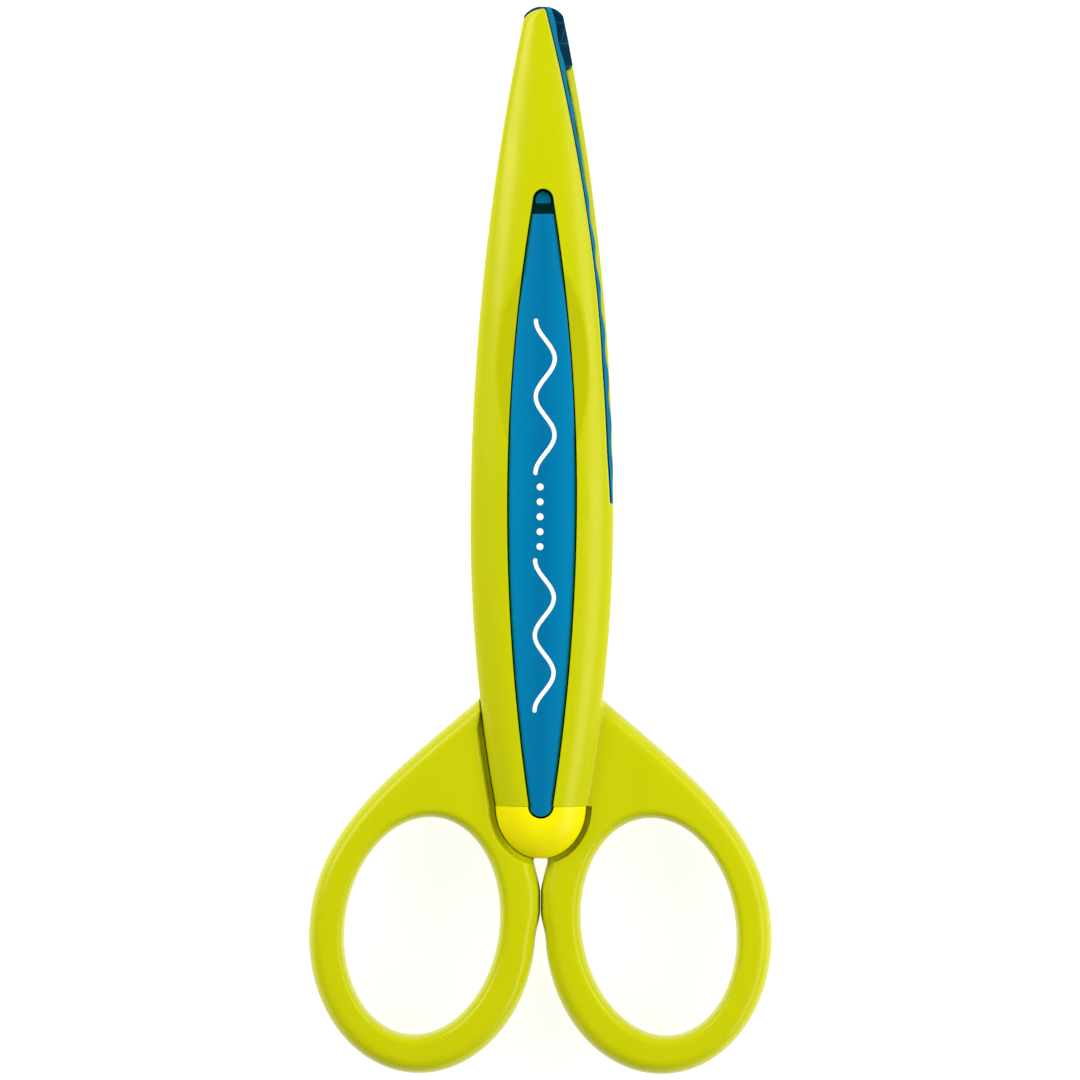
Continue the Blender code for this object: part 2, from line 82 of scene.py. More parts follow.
# Slot and panel
SLOT_BELLY_Y, SLOT_HALF = 23.0, 5.4
SLOT_FORE_TAPER, SLOT_AFT_TAPER = 0.00176, 0.00158
SLOT_FORE_END_Y, SLOT_AFT_END_Y, SLOT_END_RADIUS = 71.1, -25.9, 1.8
PANEL_GAP, PANEL_FORE_END_Y = 0.22, 67.2
PANEL_EDGE_SINK, PANEL_CROWN, PANEL_ROUND, PANEL_BASE_Z = 0.5, 0.35, 0.18, 4.2
PANEL_FRONT_ROWS = (0.2, 0.12, 0.06, 0.02, 0.0)  # distances from the square front end

# Thumb scoop
SCOOP_Y, SCOOP_HALF_LENGTH, SCOOP_HALF_WIDTH, SCOOP_DEPTH = 43.0, 17.7, 7.2, 1.0
SCOOP_RINGS = (1.08, 1.0, 0.9, 0.75, 0.5, 0.25)  # shares of its size. The first stands above the face

# Blade
SLIT_END_Y, STEP_Y = 22.3, 22.5
EDGE_ROOT_X, EDGE_START_Y, EDGE_BEND, EDGE_POWER = 10.98, 21.0, 0.00283, 1.87
EDGE_DROP, EDGE_RIPPLE = 0.5, 0.14
STRIP_NARROW_Y, STRIP_NARROW, STRIP_WIDE = 60.0, 0.56, 0.82
STRIP_FORE_GROWTH, STRIP_AFT_GROWTH = 0.0003, 0.001
STRIP_REAR, STRIP_REAR_GROWTH = 0.5, 0.04
BLADE_TOP, BLADE_TOP_DROP = 2.8, 1.1
BLADE_SIDE_GAP, BLADE_HEAD_GAP = 0.15, 0.2
BARE_TIP_Y, BARE_TIP_SLANT = 90.2, 0.8
WAVE_LENGTH, WAVE_HEIGHT = 6.7, 0.85
WAVE_START_R, WAVE_FULL_R = 25.0, 32.0
# Room for the other blade's wave, above which the spine wall's meeting side slopes away outwards
WAVE_ROOM, WALL_FALL = WAVE_HEIGHT - LEVER_GAP + 0.3, 0.5
BLADE_TAIL_Y, FLAT_PART_END_Y = -22.0, 19.0
ARC_ROWS_START, ARC_ROWS_END, ARC_ROWS = 24.4, 98.5, 320  # distances from the rivet
NOSE_ARCS = (98.8, 99.05, 99.22, 99.32)
FACET_Y, FACET_X, FACET_SLOPE, FACET_RISE = 90.0, 1.85, 0.2286, 0.25  # bevel along the spine of the bare tip
FACET_START_R, FACET_FADE = 86.0, 3.0
DITCH, DITCH_SHARE, DITCH_DEPTH, DITCH_LIP, DITCH_LIP_DROP = 0.16, 0.35, 0.45, 0.04, 0.12
COVER_LAPS = (0.06, 0.1)  # how far the ditch's two inner corners lie under the cover
PLAIN_BEVEL = 0.3  # width of the bevel where the cover hides the edge
# Painted shade on the meshing faces, with their ridge lines lighter as a painted highlight, painted shade on
# the bare nose, and which faces of the blade take it
RIDGE_HALF, RIDGE_PAINTED_HIGHLIGHT, NOSE_PAINTED_SHADE, NOSE_REACH = 0.12, 0.6, 0.8, 3.5
MESHING_NORMAL_Z, MESHING_TOP = -0.3, 1.6

# Finger ring and arm
RING_HALF_Z = 4.5
# Ellipses: centre, half width, half length and lean
RING_OUTER = (18.27, -43.83, 17.5, 21.72, math.radians(3.6))
RING_HOLE = (18.28, -42.77, 11.9, 16.9, math.radians(8.4))
OUTER_ROUND, INNER_ROUND, INNER_ROUND_SHIFT = 3.0, 1.85, 0.35
ARM_TOP, ARM_TOP_PULL = (9.6, -7.7), (13.65, -11.74)
ARM_ROOT = ((5.0, -4.0), (3.4, -14.0), (2.2, -26.0))  # hidden under the body
ARM_HEEL = (1.0, -32.9)
ARM_MEET_X, ARM_MEET_YS = 0.03, (-37.4, -38.4, -39.4, -40.4)  # where the two arms meet when closed
ARM_HEEL_PULL, ARM_MEET_PULLS = (-0.3, -1.4), ((0.1, 1.2), (0.02, -1.4))
RING_PULL, RING_HEEL_PULL = 15.0, 1.6
ROUND_RISE_POWER, ROUND_INSET_POWER = 0.75, 0.62
GROOVE, GROOVE_FLOOR, FIT_GAP = 0.9, 3.2, 0.12
GROOVE_START_Y, GROOVE_FADE, FOOTPRINT_FRONT_Y = -9.2, 3.0, 14.0
# Heights in the groove, and how far its outline grows there
GROOVE_PROFILE = ((-9.0, 1.5), (-4.6, 1.35), (-4.1, 1.0), (-3.6, GROOVE), (-GROOVE_FLOOR, GROOVE - 0.1))
SEAM_Z, SEAM_REACH, SEAM_END_FADE = 2.0, 2.2, 2.5  # the rounded seam between the flank and the arm

# Release button
BUTTON_HALF, BUTTON_LENGTH, BUTTON_SKIRT_Z, BUTTON_WALL = 6.98, 8.1, 2.9, 1.2
BUTTON_GAP, BUTTON_TOP_DROP, CAP_LAST_SHARE = 0.03, 0.12, 0.06
HOLLOW_Z, NOTCH_GAP, NOTCH_Z = (1.0, 4.9), 0.1, 4.6
FLOOR_TOP, FLOOR_FRONT = 1.1, (6.5, -21.5)

# Clip. A box is given by two opposite corners
LUG_Y, LUG_HALF, LUG_ROUND, LUG_Z = 68.85, 1.15, 1.32, (1.5, 5.3)
CATCH = ((-3.0, -21.6, 0.8), (3.0, -17.5, 4.8))
LATCH_WAY = ((-1.7, -23.0, 1.0), (1.7, -18.6, 3.5))
LATCH_WINDOW = ((-1.6, -20.8, 3.0), (1.6, -18.7, 6.0))
TONGUE_HALF, TONGUE_Z = 1.3, (2.3, 3.2)
HOOK_Y, HOOK_Z = (-20.5, -19.2), (2.8, 4.4)

# Rivet, washers and spring
PIVOT_HOLE, WASHER_POCKET, WASHER_POCKET_TOP = 1.68, 4.25, 0.65
SHANK, SHANK_HALF, HEAD_EDGE_Z, HEAD, HEAD_RISE = 1.6, 3.7, 3.95, 2.6, 0.5
# Washers: inner and outer radius, bottom and top
HEAD_WASHER = (PIVOT_HOLE, 3.0, 3.05, 3.45)
CENTRE_WASHER = (PIVOT_HOLE, 4.0, -0.4, 0.4)
SPRING_Y, SPRING_RADIUS, SPRING_WIRE, SPRING_TURNS = -28.6, 1.9, 0.25, 4
SPRING_Z, SPRING_END = (1.65, 4.45), 0.12  # the end is a share of the wire's length
SIDES_AROUND = 96

# Print on the panel
PRINT_X, PRINT_SWING, PRINT_HALF_WIDTH, PRINT_TURNS = 0.42, 1.455, 0.33, 2
PRINTED_WAVES = ((27.25, 50.7), (-9.35, 13.8))  # each from its rear end to its front end
PRINT_RISE = 0.035
# Print profiles: shares of the half width, and shares of the rise there
PRINT_PROFILE = ((-1, -0.05), (-0.92, 0.7), (-0.5, 1.0), (0.5, 1.0), (0.92, 0.7), (1, -0.05))
DOT_X, DOT_Y, DOT_STEP, DOT_RADIUS = -0.3, 20.5, 2.3, 0.55
DOT_PROFILE = ((1.0, -0.05), (0.92, 0.7), (0.5, 1.0))

# Meshes: voxel size, rounds of smoothing and share of the faces kept
LEVER_MESH = (0.2, 4, 0.3)
CAP_MESH = (0.12, 3, 0.5)
QUICK_VOXEL = 1.7
SOFT_FACTOR, THINNED_SMOOTHING, SEAM_SMOOTHING = 0.5, (0.4, 4), (0.6, 40)
HALVINGS = 30
BELOW, ABOVE, ASIDE = -9.0, 9.0, 14.0  # clear of the lever's body, for cuts that go right through

# Linear colours
# The third lime is painted shade for the thumb scoop.
LIME_COLOUR, LIME_SHADE, LIME_SCOOP_PAINTED_SHADE = (0.585, 0.61, 0.0), (0.56, 0.587, 0.0), (0.5, 0.52, 0.0)
YELLOW_COLOUR, YELLOW_SHADE = (0.97, 0.87, 0.0), (0.94, 0.83, 0.0)
# The panel's rims take the brighter colours as a painted sheen, and its middle colour is painted shade.
PANEL_COLOUR, PANEL_SHADE, PANEL_MIDDLE_PAINTED_SHADE = (0.0, 0.222, 0.455), (0.0, 0.21, 0.43), (0.0, 0.165, 0.355)
# The third blade colour is painted shade for the faces where the blades mesh.
BLADE_COLOUR, BLADE_SHADE, BLADE_PAINTED_SHADE = (0.0, 0.19, 0.38), (0.0, 0.165, 0.34), (0.001, 0.033, 0.075)
INK_COLOUR, INK_THIN = (1.0, 1.0, 1.0), (0.86, 0.96, 1.0)
STEEL_COLOUR, STEEL_PALE, STEEL_SHADE = (0.62, 0.62, 0.6), (0.66, 0.66, 0.64), (0.5, 0.5, 0.49)
NYLON_COLOUR, NYLON_PALE, NYLON_SHADE = (0.85, 0.84, 0.78), (0.86, 0.85, 0.79), (0.74, 0.73, 0.66)


# ---- curves of the design ----


def leaf(y, belly_y, half, fore, aft):
    """Half width of a leaf that is widest at belly_y."""
    return half - (fore if y > belly_y else aft) * (y - belly_y) ** 2


def body_half(y):
    return leaf(y, BELLY_Y, BELLY_HALF, FORE_TAPER, AFT_TAPER)


def outline_half(y, inset=0.0):
    """Half width of the whole outline, with its blunt rounded nose."""
    into_nose = y - (TIP_Y - inset - NOSE_LENGTH)
    half = body_half(y)
    if into_nose > 0:
        half = min(half, NOSE_HALF * math.sqrt(max(0.0, 1 - (into_nose / NOSE_LENGTH) ** 2)))
    return half


def slot_half(y):
    return leaf(y, SLOT_BELLY_Y, SLOT_HALF, SLOT_FORE_TAPER, SLOT_AFT_TAPER)


def past_flat(y):
    return max(0.0, (y - FLAT_END_Y) / (TIP_Y - FLAT_END_Y)) ** 2


def crest_z(y):
    return HALF_THICKNESS - CREST_DROP * past_flat(y)


def shoulder_z(y):
    return SHOULDER - SHOULDER_DROP * past_flat(y)


def blade_top_z(y):
    return BLADE_TOP - BLADE_TOP_DROP * past_flat(y)


def spine_wall(y):
    """Thickness of the wall beside the blade's spine, which grows towards the tip."""
    return WALL + SPINE_WALL_GROWTH * max(0.0, y - SPINE_WALL_START_Y) ** 2


def edge_x(y):
    """The cutting edge, seen from the front."""
    return EDGE_ROOT_X - EDGE_BEND * max(0.0, y - EDGE_START_Y) ** EDGE_POWER


def strip_width(y):
    """How far the cover stops short of the cutting edge."""
    if y > STRIP_NARROW_Y:
        return STRIP_NARROW + STRIP_FORE_GROWTH * (y - STRIP_NARROW_Y) ** 2
    at_rear = STRIP_REAR + STRIP_REAR_GROWTH * (y - STEP_Y)
    return min(STRIP_WIDE, STRIP_NARROW + STRIP_AFT_GROWTH * (STRIP_NARROW_Y - y) ** 2, at_rear)


def facet_x(y):
    """Where the bevel along the spine of the bare tip begins."""
    return -FACET_X - FACET_SLOPE * (y - FACET_Y)


def wave_z(r):
    """The meshing surface of the blades, which turns about the rivet."""
    grow = min(1.0, max(0.0, (r - WAVE_START_R) / (WAVE_FULL_R - WAVE_START_R)))
    return WAVE_HEIGHT * grow * math.sin(2 * math.pi * (r - WAVE_START_R) / WAVE_LENGTH)


def flank(share):
    """Rise of the dome from its shoulder, at share 1, to its crest, at share 0."""
    return (1 - min(1.0, max(0.0, share)) ** FLANK_POWER) ** FLANK_ROUND


def dome_halves(y):
    """Half width of the body, and of the level crest of its dome."""
    half = outline_half(y, COVER_NOSE_INSET)
    return half, min(max(0.0, slot_half(y)) + CREST_BAND, CREST_SHARE * half)


def dome_z(x, y):
    """Height of the body's outer face."""
    half, crest_half = dome_halves(y)
    share = (abs(x) - crest_half) / (half - crest_half)
    return shoulder_z(y) + (crest_z(y) - shoulder_z(y)) * flank(share)


def panel_top_z(x, y):
    half = max(0.5, slot_half(y) - PANEL_GAP)
    return crest_z(y) - PANEL_EDGE_SINK + PANEL_CROWN * (1 - min(1.0, abs(x) / half) ** 2)


def meet_arc(r, half_width):
    """The point of an outline that is r from the rivet."""
    low, high = 0.0, r
    for _ in range(HALVINGS):
        y = (low + high) / 2
        if math.hypot(half_width(y), y) < r:
            low = y
        else:
            high = y
    return half_width(y), y


def steps(first, last, count):
    return [first + (last - first) * i / count for i in range(count + 1)]


def ellipse(x, y, half_x, half_y, lean, first, last, count):
    """Points of a leaning ellipse from one angle to another, in degrees."""
    cos, sin = math.cos(lean), math.sin(lean)
    points = []
    for angle in steps(math.radians(first), math.radians(last), count):
        u, v = half_x * math.cos(angle), half_y * math.sin(angle)
        points.append((x + u * cos - v * sin, y + u * sin + v * cos))
    return points


def closed_ellipse(x, y, half_x, half_y, lean, count):
    """A whole ellipse of count points."""
    return ellipse(x, y, half_x, half_y, lean, 0, 360 - 360 / count, count - 1)


def curve(first, first_pull, last_pull, last, count):
    """Points of a cubic curve, without its ends. Each pull goes from an end to the corner next to it."""
    corners = [first, (first[0] + first_pull[0], first[1] + first_pull[1])]
    corners += [(last[0] + last_pull[0], last[1] + last_pull[1]), last]
    points = []
    for t in steps(0.0, 1.0, count)[1:-1]:
        weights = (1 - t) ** 3, 3 * (1 - t) ** 2 * t, 3 * (1 - t) * t**2, t**3
        x = sum(weight * corner[0] for weight, corner in zip(weights, corners))
        y = sum(weight * corner[1] for weight, corner in zip(weights, corners))
        points.append((x, y))
    return points


def inset(points, distance):
    """Moves each point of a smooth anticlockwise outline inwards."""
    moved = []
    for i, (x, y) in enumerate(points):
        (x0, y0), (x1, y1) = points[i - 1], points[(i + 1) % len(points)]
        length = math.hypot(x1 - x0, y1 - y0)
        moved.append((x - (y1 - y0) / length * distance, y + (x1 - x0) / length * distance))
    return moved


# ---- making meshes ----


def temporary(bm):
    """An object in lever millimetres, for a step on the way to a piece."""
    bmesh.ops.recalc_face_normals(bm, faces=bm.faces)
    mesh = bpy.data.meshes.new("step")
    bm.to_mesh(mesh)
    bm.free()
    made = bpy.data.objects.new("step", mesh)
    bpy.context.scene.collection.objects.link(made)
    return made


def bridge(bm, loops):
    """Faces from each loop of vertices to the next. All have the same count."""
    for low, high in zip(loops, loops[1:]):
        for i in range(len(low)):
            j = (i + 1) % len(low)
            bm.faces.new((low[i], low[j], high[j], high[i]))


def loft(rings, closed=False):
    """A solid through rings of equal point count. The ends are capped, unless it closes on itself."""
    bm = bmesh.new()
    loops = [[bm.verts.new(p) for p in ring] for ring in rings]
    bridge(bm, [*loops, loops[0]] if closed else loops)
    if not closed:
        for loop in (reversed(loops[0]), loops[-1]):
            cap = bm.faces.new(loop)
            cap.normal_update()
            start = cap.verts[0].co
            if any(abs((vert.co - start).dot(cap.normal)) > 1e-4 for vert in cap.verts):
                bmesh.ops.triangulate(bm, faces=[cap])
    return temporary(bm)


def prism(outline, low, high):
    return loft([[(x, y, z) for x, y in outline] for z in (low, high)])


def box(low, high):
    outline = [(low[0], low[1]), (high[0], low[1]), (high[0], high[1]), (low[0], high[1])]
    return prism(outline, low[2], high[2])


def evaluated(target):
    """Applies all modifiers of a temporary object."""
    graph = bpy.context.evaluated_depsgraph_get()
    mesh = bpy.data.meshes.new_from_object(target.evaluated_get(graph), depsgraph=graph)
    target.modifiers.clear()
    old = target.data
    target.data = mesh
    bpy.data.meshes.remove(old)
    return target


def combine(target, operation, *others):
    for other in others:
        modifier = target.modifiers.new("step", "BOOLEAN")
        modifier.operation = operation
        modifier.object = other
        modifier.solver = "EXACT"
    evaluated(target)
    for other in others:
        bpy.data.objects.remove(other)
    return target


def soften(target, voxel, rounds):
    """Rounds every edge a little: an even fine mesh, smoothed."""
    size = voxel if FINE else voxel * QUICK_VOXEL
    remesh = target.modifiers.new("step", "REMESH")
    remesh.mode = "VOXEL"
    remesh.voxel_size = size
    smooth = target.modifiers.new("step", "SMOOTH")
    smooth.factor, smooth.iterations = SOFT_FACTOR, rounds
    evaluated(target)
    return target


def thin(target, ratio):
    """Fewer and larger faces, evened out again so that gloss runs smoothly over them."""
    decimate = target.modifiers.new("step", "DECIMATE")
    decimate.ratio = ratio
    smooth = target.modifiers.new("step", "SMOOTH")
    smooth.factor, smooth.iterations = THINNED_SMOOTHING
    return evaluated(target)


def placed(name, source, side, body, finish, replaced=(), angle=None, depth=None):
    """The finished piece of one side: the lever's mesh in its place, on its body, with its finish."""
    mesh = source.data.copy()
    mesh.name = name
    # depth gives each face its share of painted shade
    if depth:
        shades = mesh.attributes.new("depth", "FLOAT", "FACE")
        shades.data.foreach_set("value", [depth(face) for face in mesh.polygons])
    turn = Matrix.Rotation(math.pi if side == "back" else 0.0, 4, "Y")
    mesh.transform(Matrix.Translation(RIVET) @ turn @ Matrix.Scale(MM, 4))
    mesh.materials.clear()
    mesh.materials.append(finish)
    mesh.shade_smooth()
    if angle:
        mesh.set_sharp_from_angle(angle=math.radians(angle))
    piece = bpy.data.objects.new(name, mesh)
    bpy.context.scene.collection.objects.link(piece)
    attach(piece, body)
    if replaced:
        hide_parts(*replaced)
    return piece


def discard(*objects):
    for made in objects:
        bpy.data.objects.remove(made)


# ---- materials ----


class Finish:
    """A node material under construction."""

    def __init__(self, name, colour, roughness, metallic=0.0):
        self.material = bpy.data.materials.new(name)
        self.material.use_nodes = True
        self.nodes = self.material.node_tree.nodes
        self.shader = self.nodes["Principled BSDF"]
        self.set("Base Color", (*colour, 1.0))
        self.set("Roughness", roughness)
        self.set("Metallic", metallic)
        self.place = self.nodes.new("ShaderNodeTexCoord").outputs["Object"]

    def set(self, socket, value):
        self.shader.inputs[socket].default_value = value

    def link(self, source, target):
        self.material.node_tree.links.new(source, target)

    def stretched(self, scale):
        mapping = self.nodes.new("ShaderNodeMapping")
        mapping.inputs["Scale"].default_value = scale
        self.link(self.place, mapping.inputs["Vector"])
        return mapping.outputs["Vector"]

    def noise(self, scale, detail=3.0, roughness=0.5, place=None):
        node = self.nodes.new("ShaderNodeTexNoise")
        node.inputs["Scale"].default_value = scale
        node.inputs["Detail"].default_value = detail
        node.inputs["Roughness"].default_value = roughness
        self.link(place or self.place, node.inputs["Vector"])
        return node.outputs["Fac"]

    def spread(self, source, low, high, first=0.0, last=1.0):
        node = self.nodes.new("ShaderNodeMapRange")
        node.clamp = True
        for socket, value in (("From Min", low), ("From Max", high), ("To Min", first), ("To Max", last)):
            node.inputs[socket].default_value = value
        self.link(source, node.inputs["Value"])
        return node.outputs["Result"]

    def blend(self, share, first, last):
        """A colour between two, by a share from 0 to 1. Either may be the output of another node."""
        node = self.nodes.new("ShaderNodeMix")
        node.data_type = "RGBA"
        self.link(share, node.inputs[0])
        for socket, value in ((node.inputs[6], first), (node.inputs[7], last)):
            if isinstance(value, tuple):
                socket.default_value = (*value, 1.0)
            else:
                self.link(value, socket)
        return node.outputs[2]

    def math(self, operation, first, second):
        node = self.nodes.new("ShaderNodeMath")
        node.operation = operation
        for socket, value in zip(node.inputs, (first, second)):
            if isinstance(value, float):
                socket.default_value = value
            else:
                self.link(value, socket)
        return node.outputs[0]

    def bump(self, height, distance, strength):
        node = self.nodes.new("ShaderNodeBump")
        node.inputs["Distance"].default_value = distance
        node.inputs["Strength"].default_value = strength
        self.link(height, node.inputs["Height"])
        self.link(node.outputs["Normal"], self.shader.inputs["Normal"])

    def attribute(self, name):
        node = self.nodes.new("ShaderNodeAttribute")
        node.attribute_name = name
        return node.outputs["Fac"]

    def colour(self, source):
        self.link(source, self.shader.inputs["Base Color"])

    def roughness(self, source):
        self.link(source, self.shader.inputs["Roughness"])


def scratches(finish):
    """Hair scratches along and across the part, from 0, clean, to 1, scratched."""
    along = finish.noise(900.0, 2.0, 0.5, finish.stretched((1.0, 0.03, 1.0)))
    across = finish.noise(800.0, 2.0, 0.5, finish.stretched((0.05, 1.0, 1.0)))
    lines = finish.math("MAXIMUM", finish.spread(along, 0.70, 0.76), finish.spread(across, 0.72, 0.78))
    return finish.math("MULTIPLY", lines, finish.spread(finish.noise(60.0), 0.45, 0.7))


def moulded(name, colour, shade, roughness, specular, tint):
    """Glossy moulded plastic: cloudy pigment, flow lines, a fine orange peel and hair scratches."""
    finish = Finish(name, colour, roughness)
    cloud = finish.spread(finish.noise(55.0, 4.0), 0.35, 0.65)
    flow = finish.spread(finish.noise(120.0, 2.0, 0.5, finish.stretched((1.0, 0.12, 1.0))), 0.4, 0.62)
    finish.colour(finish.blend(finish.math("MULTIPLY", cloud, flow), colour, shade))
    worn = scratches(finish)
    patch = finish.spread(finish.noise(90.0, 3.0), 0.3, 0.7, roughness - 0.04, roughness + 0.05)
    finish.roughness(finish.math("ADD", patch, finish.math("MULTIPLY", worn, 0.12)))
    peel = finish.noise(1400.0, 2.0)
    finish.bump(finish.math("SUBTRACT", peel, finish.math("MULTIPLY", worn, 0.8)), 0.000012, 0.5)
    finish.set("Specular IOR Level", specular)
    finish.set("Specular Tint", (*tint, 1.0))
    return finish


def lime_plastic():
    """The lime of the levers, with painted shade making it a little deeper in the thumb scoop."""
    finish = moulded("lime_plastic", LIME_COLOUR, LIME_SHADE, 0.28, 0.32, (1.0, 0.85, 0.45))
    plain = finish.shader.inputs["Base Color"].links[0].from_socket
    parts = finish.nodes.new("ShaderNodeSeparateXYZ")
    finish.link(finish.place, parts.inputs[0])
    across = finish.math("DIVIDE", parts.outputs["X"], SCOOP_HALF_WIDTH * MM)
    from_middle = finish.math("SUBTRACT", parts.outputs["Y"], RIVET.y + SCOOP_Y * MM)
    along = finish.math("DIVIDE", from_middle, SCOOP_HALF_LENGTH * MM)
    squares = finish.math("ADD", finish.math("POWER", along, 2.0), finish.math("POWER", across, 2.0))
    # painted shade: the lime darkens inside the thumb scoop's ellipse
    inside = finish.spread(squares, 0.88, 1.0, 1.0, 0.0)
    finish.colour(finish.blend(inside, plain, LIME_SCOOP_PAINTED_SHADE))
    return finish.material


def inlay_plastic():
    """The blue of the inlays, with painted shade along the middle and a painted sheen towards the rims."""
    finish = moulded("blue_plastic", PANEL_COLOUR, PANEL_SHADE, 0.4, 0.25, (0.2, 0.8, 1.0))
    rim = finish.shader.inputs["Base Color"].links[0].from_socket
    across = finish.nodes.new("ShaderNodeSeparateXYZ")
    finish.link(finish.place, across.inputs[0])
    away = finish.math("ABSOLUTE", across.outputs["X"], 0.0)
    # painted sheen: brighter towards the rims, with painted shade along the middle
    finish.colour(finish.blend(finish.spread(away, 0.0002, 0.0045), PANEL_MIDDLE_PAINTED_SHADE, rim))
    return finish.material


def filled_resin():
    """Glass-filled resin of the blades: satin, with short fibre flecks, and painted shade where the blades
    mesh.
    """
    finish = Finish("blue_resin", BLADE_COLOUR, 0.5)
    fibres = finish.spread(finish.noise(2600.0, 2.0, 0.5, finish.stretched((1.0, 0.22, 1.0))), 0.56, 0.68)
    cloud = finish.spread(finish.noise(80.0, 4.0), 0.35, 0.7)
    base = finish.blend(cloud, BLADE_COLOUR, BLADE_SHADE)
    paler = tuple(c * 1.25 + 0.012 for c in BLADE_COLOUR)
    skin = finish.blend(finish.math("MULTIPLY", fibres, 0.5), base, paler)
    # painted shade on the meshing faces, by the face attribute 'depth'
    finish.colour(finish.blend(finish.attribute("depth"), skin, BLADE_PAINTED_SHADE))
    finish.roughness(finish.spread(finish.noise(400.0, 3.0), 0.3, 0.7, 0.44, 0.56))
    finish.bump(finish.math("ADD", fibres, finish.noise(900.0, 3.0)), 0.000014, 0.5)
    finish.set("Specular IOR Level", 0.2)
    finish.set("Specular Tint", (0.3, 0.85, 1.0, 1.0))
    return finish.material


def ink():
    """Pad-printed white ink, a little thin in places."""
    finish = Finish("white_ink", INK_COLOUR, 0.42)
    thin_spots = finish.spread(finish.noise(1500.0, 3.0), 0.55, 0.75)
    finish.colour(finish.blend(thin_spots, INK_COLOUR, INK_THIN))
    finish.bump(finish.noise(2500.0, 2.0), 0.00001, 0.4)
    return finish.material


def plated_steel():
    """Turned and zinc-plated steel with fine tool marks."""
    finish = Finish("plated_steel", STEEL_COLOUR, 0.28, 1.0)
    marks = finish.noise(500.0, 3.0, 0.6, finish.stretched((1.0, 1.0, 12.0)))
    finish.colour(finish.blend(finish.spread(marks, 0.3, 0.7), STEEL_PALE, STEEL_SHADE))
    finish.roughness(finish.spread(marks, 0.3, 0.7, 0.2, 0.38))
    finish.bump(marks, 0.00001, 0.5)
    return finish.material


def nylon():
    finish = Finish("natural_nylon", NYLON_COLOUR, 0.5)
    cloud = finish.noise(300.0, 4.0)
    finish.colour(finish.blend(finish.spread(cloud, 0.3, 0.7), NYLON_PALE, NYLON_SHADE))
    finish.roughness(finish.spread(cloud, 0.3, 0.7, 0.42, 0.58))
    finish.bump(cloud, 0.00002, 0.4)
    return finish.material


LIME = lime_plastic()
YELLOW = moulded("yellow_plastic", YELLOW_COLOUR, YELLOW_SHADE, 0.3, 0.28, (1.0, 0.9, 0.5)).material
BLUE_PANEL = inlay_plastic()
BLUE, INK, STEEL, NYLON = filled_resin(), ink(), plated_steel(), nylon()


# ---- the lime lever ----


def slot_outline(gap=0.0):
    """Anticlockwise outline of the slot, with round ends."""
    radius = SLOT_END_RADIUS - gap
    fore_y, aft_y = SLOT_FORE_END_Y - SLOT_END_RADIUS, SLOT_AFT_END_Y + SLOT_END_RADIUS
    right = [(slot_half(y) - gap, y) for y in steps(aft_y + 0.5, fore_y - 0.3, 70)]
    fore = ellipse(0, fore_y, slot_half(fore_y) - gap, radius, 0, 4, 176, 20)
    left = [(-x, y) for x, y in reversed(right)]
    aft = ellipse(0, aft_y, slot_half(aft_y) - gap, radius, 0, 184, 356, 20)
    return right + fore + left + aft


def body_section(y):
    """Cross-section of the body: flat underneath, upright sides and a domed top."""
    half, crest_half = dome_halves(y)
    shoulder, crest = shoulder_z(y), crest_z(y)
    right = [(half, y, z) for z in steps(LEVER_GAP, shoulder, 4)[:-1]]
    for turn in steps(0.0, 1.0, 18):
        share = math.cos(turn * math.pi / 2) ** TURN_POWER
        x = crest_half + (half - crest_half) * share
        right.append((x, y, shoulder + (crest - shoulder) * flank(share)))
    left = [(-x, y, z) for x, y, z in reversed(right)]
    return right + left


def body_block():
    """The leaf, from just behind its rear end to the rounded nose."""
    last = TIP_Y - COVER_NOSE_INSET
    nose = [last - NOSE_LENGTH * (1 - math.sin(a)) for a in steps(0.05, math.pi / 2 - 0.06, 12)]
    rows = [body_section(y) for y in [*steps(BODY_END_Y - 0.5, last - NOSE_LENGTH, 120), *nose]]
    return loft(rows)


def rounding(depth, height, count):
    """(z, inset) pairs of a soft edge profile from bottom to top."""
    profile = []
    for turn in steps(-1.0, 1.0, count):
        angle = turn * math.pi / 2
        z = height * math.copysign(abs(math.sin(angle)) ** ROUND_RISE_POWER, angle)
        profile.append((z, depth * (1 - max(0.0, math.cos(angle)) ** ROUND_INSET_POWER)))
    return profile


def ring_and_arm():
    """The finger ring and its arm, rounded towards both faces, with the finger hole through it."""
    ring = ellipse(*RING_OUTER, -180, 0, 90)
    lean = RING_OUTER[-1]
    outer_pull, inner_pull = [
        (-math.sin(lean) * pull, math.cos(lean) * pull) for pull in (RING_PULL, RING_HEEL_PULL)
    ]
    outer = curve(ring[-1], outer_pull, ARM_TOP_PULL, ARM_TOP, 44)
    meeting = [(ARM_MEET_X, y) for y in ARM_MEET_YS]
    inner = curve(ARM_HEEL, ARM_HEEL_PULL, ARM_MEET_PULLS[0], meeting[0], 9) + meeting
    inner += curve(meeting[-1], ARM_MEET_PULLS[1], inner_pull, ring[0], 9)
    outline = [*ring, *outer, ARM_TOP, *ARM_ROOT, ARM_HEEL, *inner]
    levels = rounding(OUTER_ROUND, RING_HALF_Z, 24)
    solid = loft([[(x, y, z) for x, y in inset(outline, d)] for z, d in levels])
    hole_x, hole_y, half_x, half_y, lean = RING_HOLE
    rings = []
    profile = rounding(INNER_ROUND, RING_HALF_Z, 24)
    for z, d in [(-6.0, 4.0), *profile, (6.0, 4.0)]:
        x = hole_x - INNER_ROUND_SHIFT * d / INNER_ROUND
        hole = closed_ellipse(x, hole_y, half_x + d, half_y + d, lean, 120)
        rings.append([(x, y, z) for x, y in hole])
    return combine(solid, "DIFFERENCE", loft(rings))


